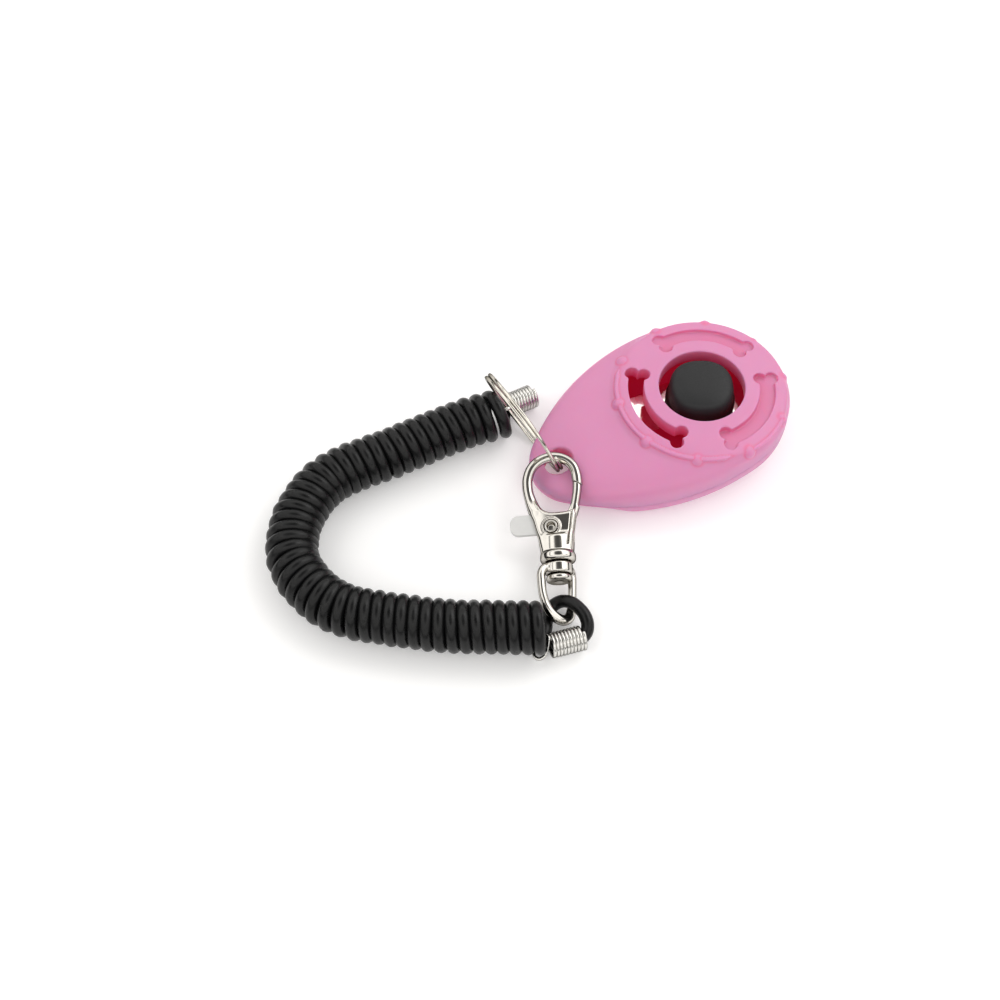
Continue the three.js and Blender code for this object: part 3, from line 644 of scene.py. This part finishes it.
# ---- button, leaf and screws ----------------------------------------------------------
points, faces = lathe([
    (0, 3.8), (1.6, 3.8, 0.3), (1.6, 7.8, 0.1), (2.6, 7.8, 0.2), (2.6, 8.8, 0.2), (8.1, 8.8, 0.4), (8.1, 10.4, 0.5),
    (7.55, 11.0, 0.8), (7.3, 15.6, 2.4), (4.4, 16.45, 2.6), (0, 16.6),
], 128)
# seen from above it is a little square, set askew to the casing
flat = np.arctan2(points[:, 1], points[:, 0]) + math.radians(26.8)
square = (np.abs(np.cos(flat)) ** 2.35 + np.abs(np.sin(flat)) ** 2.35) ** (-1 / 2.35)
points[:, :2] *= (1 + (square - 1) * np.clip((points[:, 2] - 10.5) / 2, 0, 1))[:, None]
button = mesh_piece("push_button", points, faces, RUBBER)
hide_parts("button")
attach(button, "button")


LEAF_HEIGHT, LEAF_THICKNESS = 7.25, 0.5


def leaf_solid(x, y, z):
    plan = rounded_box(x, y, (-4.3, 0), (19.3, 8.9), 5)
    plan = carve(plan, np.hypot(x, y) - 2.2, 0.05)
    plan = carve(plan, np.hypot(x - LEAF_POST_X, y) - 1.6, 0.05)
    # the cut-out corner stands in for shade: the leaf is left out where shade falls on it, so the darker hollow shows
    # there
    plan = carve(plan, rounded_box(x, y, (-11.5, -7.5), (6, 5.8), 3), 0.05)
    return meet(plan, np.abs(z - LEAF_HEIGHT) - LEAF_THICKNESS / 2, 0.12)


leaf = solid_piece("click_leaf_spring", leaf_solid, (-24.2, -9.5, 6.6), (15.6, 9.5, 7.9), 0.2, LEAF)
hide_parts("click_leaf")
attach(leaf, "leaf")


def screw_solid(head_low, head_high, tip, radius):
    """A pan-head screw with a cross recess; the head's top is at the end away from the tip."""
    up = tip < head_low
    top = head_high if up else head_low

    def solid(x, y, z):
        r = np.hypot(x, y)
        thread = 1.2 + 0.12 * np.sin(2 * math.pi * (z / 0.8) - np.arctan2(y, x))
        low, high = min(tip, head_low), max(tip, head_high)
        shank = meet(r - thread, np.maximum(low - z, z - high), 0.2)
        head = disc(r, z, radius, head_low, head_high, 0.45)
        body = join(shank, head, 0.15)
        cross = np.minimum(np.maximum(np.abs(x) - 0.28, np.abs(y) - 1.15),
                           np.maximum(np.abs(y) - 0.28, np.abs(x) - 1.15))
        depth = (top - 0.75 - z) if up else (z - top - 0.75)
        return carve(body, meet(cross, depth, 0.1), 0.1)
    return solid


screws = [("leaf_screw", LEAF_POST_X, 0.0, (7.8, 8.9, 2.6, 2.3))]
screws += [(name, x, y, (0.8, 2.6, 10.6, 2.2))
           for name, (x, y) in zip(("shell_screw_right", "shell_screw_left"), SCREWS)]
for name, x, y, sizes in screws:
    low, high = min(sizes[:3]) - 0.3, max(sizes[:3]) + 0.3
    points, faces, normals = nets(screw_solid(*sizes), (-2.6, -2.6, low), (2.6, 2.6, high), 0.14)
    screw = mesh_piece("cross_" + name, points + [x, y, 0], faces, ZINC, normals=normals)
    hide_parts(name)
    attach(screw, "casing")

# ---- split ring -----------------------------------------------------------------------
RING_CENTRE = np.array([-40.95, 10.2, 13.25])
RING_NORMAL = unit(np.array([0.937, 0.102, 0.329]))
RING_RADIUS, RING_TURNS, RING_PITCH = 13.2, 1.9, 0.95


def split_ring():
    turn_to = Vector((0, 0, 1)).rotation_difference(Vector(RING_NORMAL)).to_matrix()
    m = np.array(turn_to)
    s = np.linspace(0, 1, 380)
    turn = 2 * math.pi * RING_TURNS * s + math.radians(269)
    reach = RING_RADIUS + 0.35 * np.clip((s - 0.97) / 0.03, 0, 1) ** 2
    # the two turns lie side by side and cross over in a short step, as in a real split ring
    step = np.clip(0.5 + (s - 0.5) / 0.12, 0, 1)
    rise = RING_PITCH * (0.5 - step * step * (3 - 2 * step))
    line = np.stack([reach * np.cos(turn), reach * np.sin(turn), rise], 1)
    outward = np.stack([np.cos(turn), np.sin(turn), 0 * turn], 1)
    tangent = unit(np.gradient(line, axis=0))
    up = np.cross(tangent, outward) * -1
    a = np.linspace(0, 2 * math.pi, 16, endpoint=False)
    section = np.stack([
        0.60 * np.sign(np.cos(a)) * np.abs(np.cos(a)) ** 0.72,
        0.43 * np.sign(np.sin(a)) * np.abs(np.sin(a)) ** 0.72,
    ], 1)
    points, faces = tube(line, 1.0, section=section, cap=0.12, basis=(tangent, outward, -up))
    return points @ m.T + RING_CENTRE, faces


points, faces = split_ring()
ring = mesh_piece("key_ring", points, faces, NICKEL)
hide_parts("split_ring")
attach(ring, "ring")

# ---- clasp, in its own frame: x to its right, y from the link to the hook, z out of its face ----
CLASP_FOOT = np.array([-54.3, -34.9, 2.5])
CLASP_HEAD = np.array([-38.3, 0.3, 11.05])
PIVOT = (-1.4, 22.1)
STEM = -0.35                            # the swivel's middle line
CASTING_HOLE, LEVER_HOLE, LEVER_SLOT = 1.58, 1.45, 0.9


def clasp_matrix(roll):
    along = unit(CLASP_HEAD - CLASP_FOOT)
    level = unit(np.array([along[1], -along[0], 0]))
    face = np.cross(level, along)
    right = level * math.cos(math.radians(roll)) + face * math.sin(math.radians(roll))
    return np.stack([right, along, np.cross(right, along)], 1)


CLASP, LINK = clasp_matrix(8), clasp_matrix(-28)


def local_piece(name, solid, low, high, step, material, matrix, node, body):
    points, faces, normals = nets(solid, low, high, step)
    piece = mesh_piece(name, points @ matrix.T + CLASP_FOOT, faces, material, normals=normals @ matrix.T)
    if node == "clasp_gate":
        # the thumb tab is left matt; the rest of the lever and the arm are plated like the casting
        piece.data.materials.append(CHROME)
        piece.data.polygons.foreach_set("material_index", (points[np.array(faces)[:, 0], 0] > -3.2).astype(int))
    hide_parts(node)
    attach(piece, body)
    return piece


def plane_curve(points):
    return resample([(x, y, 0) for x, y in points], 0.5)[:, :2].tolist()


HOOK = plane_curve([
    (-4.9, 25.6), (-5.5, 27.4), (-6.05, 29.6), (-6.4, 32.0), (-6.3, 34.4), (-5.3, 36.9), (-3.4, 38.6), (-0.6, 39.3),
    (2.2, 38.6), (4.1, 36.8), (4.8, 34.4), (4.9, 31.6),
])
BODY = plane_curve([
    (4.2, 26.5), (3.0, 25.95), (1.9, 25.7), (0, 25.6), (-1.7, 25.75), (-2.7, 26.2), (-3.5, 27.0), (-4.2, 28.2),
    (-4.9, 29.8), (-5.6, 32.0),
]) + [
    (-6.2, 32.0), (-6.6, 29.6), (-6.3, 27.2), (-6.0, 25.4), (-5.4, 22.9), (-4.6, 19.7), (-3.9, 16.0), (3.1, 16.0),
    (3.65, 20.6), (4.45, 24.8),
]
GATE = plane_curve([(3.6, 25.4), (4.3, 28.4), (4.75, 31.0), (4.9, 34.0)])
LEVER = [
    (-4.0, 21.6), (-2.3, 21.2), (-1.2, 19.8), (0.8, 20.4), (3.4, 23.4), (4.9, 26.6), (3.4, 27.2), (1.6, 25.0),
    (-1.4, 25.1), (-4.0, 25.6),
]


def bar(flat, z, across, high, power=3.0):
    """A wire of rounded rectangular section: flat is the distance from its line in the plane."""
    grown = ((np.abs(flat) / across) ** power + (np.abs(z) / high) ** power) ** (1 / power)
    return (grown - 1) * min(across, high)


def gate_cut(x, y):
    """The slanted joint between the hook's end and the gate's: above zero on the hook's side."""
    return y - 32.45 + 0.55 * (x - 4.9)


def clasp_body(x, y, z):
    hook = bar(line_distance(x, y, HOOK), z, 1.15, 1.1, 2.2)
    hook = meet(hook, np.where((x > 1) & (y < 37), 0.09 - gate_cut(x, y), -9), 0.12)
    plan = polygon(x, y, BODY)
    across = x + 0.6
    body = meet(plan, np.abs(z) - 2.05 + 0.026 * across * across + 0.34 * np.maximum(y - 26.2, 0), 1.1)
    r = np.hypot(x - STEM, z)
    neck = meet(r - 3.0 - 0.05 * (y - 15), np.maximum(15 - y, y - 20), 0.8)
    body = join(body, neck, 1.4)
    body = join(body, hook, 0.9)
    pr = np.hypot(x - PIVOT[0], y - PIVOT[1])
    body = join(body, np.hypot(pr - 1.95, np.maximum(np.abs(z) - 1.95, 0)) - 0.32, 0.2)
    # the line between the cast face and the strip along its right edge
    strip = np.abs(x - 2.2 - 0.150 * (y - 17.8)) - 0.05
    groove = meet(meet(strip, 1.25 - z, 0.1), np.maximum(17.6 - y, y - 25.6), 0.3)
    body = carve(body, groove, 0.4)
    slot = polygon(x, y, [(-9, 18.6), (7, 18.6), (7, 32), (1.2, 32), (-1.2, 25.35), (-9, 25.9)])
    body = carve(body, meet(slot, np.abs(z) - LEVER_SLOT, 0.1), 0.2)
    body = carve(body, pr - CASTING_HOLE, 0.15)
    body = join(body, disc(r, y, 4.0, 14.0, 16.3, 0.9), 0.4)
    stem = meet(r - 1.5, np.maximum(10 - y, y - 15), 0.2)
    head = carve(disc(r, y, 2.9, 9.6, 11.0, 0.6), np.hypot(r, y - 8.5) - 1.35, 0.4)
    return np.minimum(body, join(stem, head, 0.2))


def clasp_gate(x, y, z):
    tab = rounded_box(x, y, (-5.7, 23.3), (5.0, 2.4), 1.9)
    lever = meet(join(polygon(x, y, LEVER), tab, 0.4), np.abs(z) - 0.62, 0.25)
    arm = bar(line_distance(x, y, GATE), z, 1.0, 1.05, 2.2)
    arm = meet(arm, gate_cut(x, y) + 0.09, 0.12)
    body = join(lever, arm, 0.6)
    return carve(body, np.hypot(x - PIVOT[0], y - PIVOT[1]) - LEVER_HOLE, 0.15)


LINK_WIRE = plane_curve([
    (-2.6, 12.7), (-4.1, 12.4), (-4.95, 11.0), (-5.0, 9.0), (-4.8, 6.4), (-3.95, 3.7), (-2.3, 1.7), (-0.1, 0.8),
    (1.5, 1.5), (2.3, 3.5), (2.65, 6.2), (2.85, 9.0), (2.9, 11.0), (2.6, 12.4), (1.6, 12.7),
])


def link_solid(x, y, z):
    thick = 0.92 + 0.30 * np.clip((4.5 - y) / 4, 0, 1)
    flat = line_distance(x, y, LINK_WIRE)
    wire = ((flat ** 2.2 + np.abs(z) ** 2.2) ** (1 / 2.2)) - thick
    r = np.hypot(x - STEM, z)
    eye_ring = carve(disc(r, y, 3.1, 11.2, 13.7, 0.5), r - 1.85, 0.25)
    return carve(join(wire, eye_ring, 0.5), meet(r - 1.85, np.abs(y - 12.4) - 3, 0.1), 0.15)


CAST = 0.13
local_piece("clasp_casting", clasp_body, (-8.6, 8.9, -4.3), (7.0, 41.2, 4.3), CAST, CHROME, CLASP, "clasp_body",
            "clasp")
local_piece("clasp_lever", clasp_gate, (-11.4, 19.0, -1.6), (6.6, 34.8, 1.6), CAST, STAMPED, CLASP, "clasp_gate",
            "gate")
local_piece("clasp_link", link_solid, (-6.6, -1.0, -3.6), (4.6, 14.6, 3.6), CAST, CHROME, LINK, "swivel_link", "link")

points, faces = lathe([
    (0, -2.0), (0.9, -2.1, 0.2), (1.1, -2.45, 0.3), (1.5, -2.3, 0.3), (1.45, -1.7, 0.2), (1.15, -1.6, 0.1),
    (1.15, 1.6, 0.1), (1.45, 1.7, 0.2), (1.5, 2.35, 0.3), (1.15, 2.5, 0.3), (0.9, 2.2, 0.2), (0.86, 0.7, 0.2),
    (0, 0.6),
], 48)
points = points + [PIVOT[0], PIVOT[1], 0]
rivet = mesh_piece("clasp_pin", points @ CLASP.T + CLASP_FOOT, faces, CHROME)
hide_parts("clasp_rivet")
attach(rivet, "clasp")

s = np.linspace(0, 1, 90)
turn = 2 * math.pi * 3.5 * s
spring_line = np.stack([0.5 * np.cos(turn) - 3.1, 18.9 + 1.3 * s, 0.5 * np.sin(turn)], 1)
points, faces = tube(spring_line, 0.14, 8)
spring = mesh_piece("gate_coil_spring", points @ CLASP.T + CLASP_FOOT, faces, WIRE)
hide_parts("gate_spring")
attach(spring, "clasp")


# ---- crimps: close-wound wire with a hooked end -----------------------------------------
def crimp(name, start, end, outer, turns, hook, node, body, phase=0.0):
    start, end = np.array(start, float), np.array(end, float)
    wire = 0.42
    mean = outer - wire
    axis = unit(end - start)
    side = unit(np.cross(axis, [0, 0, 1.0]))
    up = np.cross(side, axis)
    s = np.linspace(0, 1, turns * 28)
    a = phase + 2 * math.pi * turns * s
    coil = start + (end - start) * s[:, None] + mean * (np.cos(a)[:, None] * side + np.sin(a)[:, None] * up)
    line = resample(np.vstack([coil[::2], hook]), 0.25) if len(hook) else coil
    points, faces = tube(line, wire, 10, cap=0.3)
    piece = mesh_piece(name, points, faces, WIRE)
    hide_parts(node)
    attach(piece, body)
    return piece


crimp("ring_crimp_spring", (-31.9, 22.7, 2.9), (-38.7, 22.7, 2.9), 2.9, 9,
      [(-38.6, 20.7, 5.0), (-38.9, 19.6, 6.8), (-39.8, 18.7, 8.0), (-41.2, 18.6, 8.3), (-42.6, 19.3, 7.6)],
      "crimp_ring_end", "ring", phase=math.pi * 0.5)
crimp("link_crimp_spring", (-52.2, -40.15, 3.1), (-59.75, -38.7, 3.1), 2.85, 10,
      [(-60.6, -38.9, 1.1), (-61.6, -39.4, 0.7), (-62.7, -39.3, 0.6), (-63.1, -38.3, 0.6), (-62.8, -37.2, 0.7)],
      "crimp_link_end", "link", phase=math.pi * 0.5)

# ---- stage ------------------------------------------------------------------------------
TABLE_REACH, SKY_STRENGTH = 2500, 1.62
points = [(sx * TABLE_REACH, sy * TABLE_REACH, 0) for sx, sy in ((-1, -1), (1, -1), (1, 1), (-1, 1))]
floor = mesh_piece("table", points, [(0, 1, 2, 3)], FLOOR, smooth=False)

world = bpy.data.worlds.new("studio")
world.use_nodes = True
sky = world.node_tree
ramp = sky.nodes.new("ShaderNodeValToRGB")
ramp.color_ramp.interpolation = "EASE"
# dark at the horizon, two bright bands part way up with a gap between them, dark straight above
stops = [(0.0, 0.02), (0.17, 0.03), (0.36, 0.95), (0.50, 1.0), (0.55, 0.30), (0.60, 0.30), (0.66, 1.0), (0.85, 1.0),
         (0.95, 0.10), (1.0, 0.06)]
for place, level in stops[1:-1]:
    ramp.color_ramp.elements.new(place)
for element, (place, level) in zip(ramp.color_ramp.elements, stops):
    element.position = place
    element.color = (level, level * 0.985, level * 0.965, 1)
split = sky.nodes.new("ShaderNodeSeparateXYZ")
sky.links.new(sky.nodes.new("ShaderNodeTexCoord").outputs["Generated"], split.inputs["Vector"])
sky.links.new(split.outputs["Z"], ramp.inputs["Fac"])
sky.links.new(ramp.outputs["Color"], sky.nodes["Background"].inputs["Color"])
sky.nodes["Background"].inputs["Strength"].default_value = SKY_STRENGTH
bpy.context.scene.world = world


def lamp(name, place, size, power):
    data = bpy.data.lights.new(name, "AREA")
    data.shape = "RECTANGLE"
    data.size, data.size_y = size
    data.energy = power
    lamp_object = bpy.data.objects.new(name, data)
    lamp_object.location = place
    aim = Vector((-0.04, 0.0, 0.0)) - Vector(place)
    lamp_object.rotation_euler = aim.to_track_quat("-Z", "Y").to_euler()
    bpy.context.scene.collection.objects.link(lamp_object)


lamp("key", (0.50, 0.05, 0.62), (0.5, 0.5), 1.0)
bpy.context.scene.view_settings.view_transform = "Standard"
